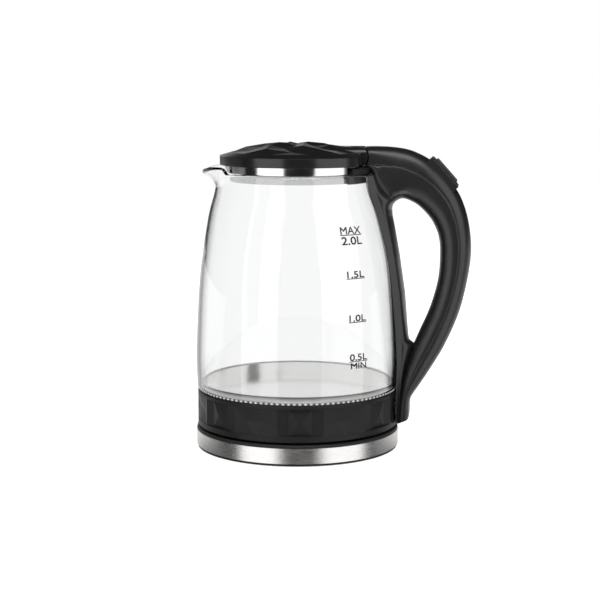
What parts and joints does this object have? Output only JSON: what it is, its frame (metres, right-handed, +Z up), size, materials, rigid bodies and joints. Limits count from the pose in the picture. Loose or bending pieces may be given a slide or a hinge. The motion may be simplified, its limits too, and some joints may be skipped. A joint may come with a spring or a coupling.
{
  "type": "electric kettle",
  "caption": "Glass electric kettle on a round power base, with a faceted black band and hinged lid, a pulled spout, a loop handle and a rocker switch.",
  "frame": {"origin": "centre of the power base on the surface it stands on", "axes": "+Z up along the axis of the jug, +X towards the handle, -X towards the spout"},
  "size_m": [0.213, 0.159, 0.2366],
  "materials": {
    "handle_plastic": "satin black moulded plastic",
    "band_plastic": "satin black faceted plastic",
    "lid_plastic": "satin black faceted plastic",
    "base_plastic": "fine matt black plastic",
    "connector_plastic": "black heat resistant plastic",
    "rocker_plastic": "satin black ribbed plastic",
    "skirt_steel": "brushed stainless steel",
    "collar_steel": "polished stainless steel",
    "heater_steel": "fine brushed stainless steel",
    "screw_steel": "zinc plated steel",
    "jug_glass": "clear borosilicate glass",
    "seal_silicone": "grey black silicone",
    "foot_rubber": "matt black rubber",
    "diffuser_aluminium": "plain rolled aluminium",
    "element_sheath": "oxidised aluminium sheath",
    "contact_brass": "plain brass",
    "bimetal": "bimetal sheet",
    "wire_sleeve": "glass braid sleeve"
  },
  "bodies": {
    "power_base": {"rubber_foot_ring": "foot_rubber", "base_bottom_plate": "base_plastic", "base_skirt": "skirt_steel", "base_top_cover": "base_plastic", "base_connector": "connector_plastic", "base_contacts": "contact_brass", "base_screws": "screw_steel", "cord_inlet_bush": "connector_plastic"},
    "coupler": {"coupler_socket": "connector_plastic", "coupler_contacts": "contact_brass"},
    "kettle": {"body_band": "band_plastic", "bottom_cover": "base_plastic", "bottom_screws": "screw_steel", "jug_seal": "seal_silicone", "heater_plate": "heater_steel", "heat_diffuser": "diffuser_aluminium", "heating_element": "element_sheath", "thermostat_controller": "connector_plastic", "thermostat_discs": "bimetal", "controller_terminals": "contact_brass", "glass_jug": "jug_glass", "handle_inner": "handle_plastic", "handle_outer": "handle_plastic", "handle_screws": "screw_steel", "rim_bracket": "handle_plastic", "hinge_pin": "screw_steel", "switch_bezel": "handle_plastic", "rocker_pin": "screw_steel", "steam_switch": "connector_plastic", "steam_bimetal": "bimetal", "wiring_harness": "wire_sleeve"},
    "lid": {"lid_cover": "lid_plastic", "lid_inner_plate": "lid_plastic", "lid_collar": "collar_steel", "lid_screws": "screw_steel"},
    "rocker": {"switch_rocker": "rocker_plastic"}
  },
  "joints": [
    {"name": "kettle_lift", "type": "slide", "parent": "power_base", "child": "coupler", "axis": [0, 0, 1], "range_m": [0, 0.08]},
    {"name": "kettle_turn", "type": "hinge", "parent": "coupler", "child": "kettle", "pos_m": [0, 0, 0.0186], "axis": [0, 0, 1], "continuous": true},
    {"name": "lid_hinge", "type": "hinge", "parent": "kettle", "child": "lid", "pos_m": [0.0465, 0, 0.2265], "axis": [0, 1, 0], "range_deg": [0, 75]},
    {"name": "switch_rock", "type": "hinge", "parent": "kettle", "child": "rocker", "pos_m": [0.10761, 0, 0.20946], "axis": [0, 1, 0], "range_deg": [-5.5, 5.5]}
  ]
}
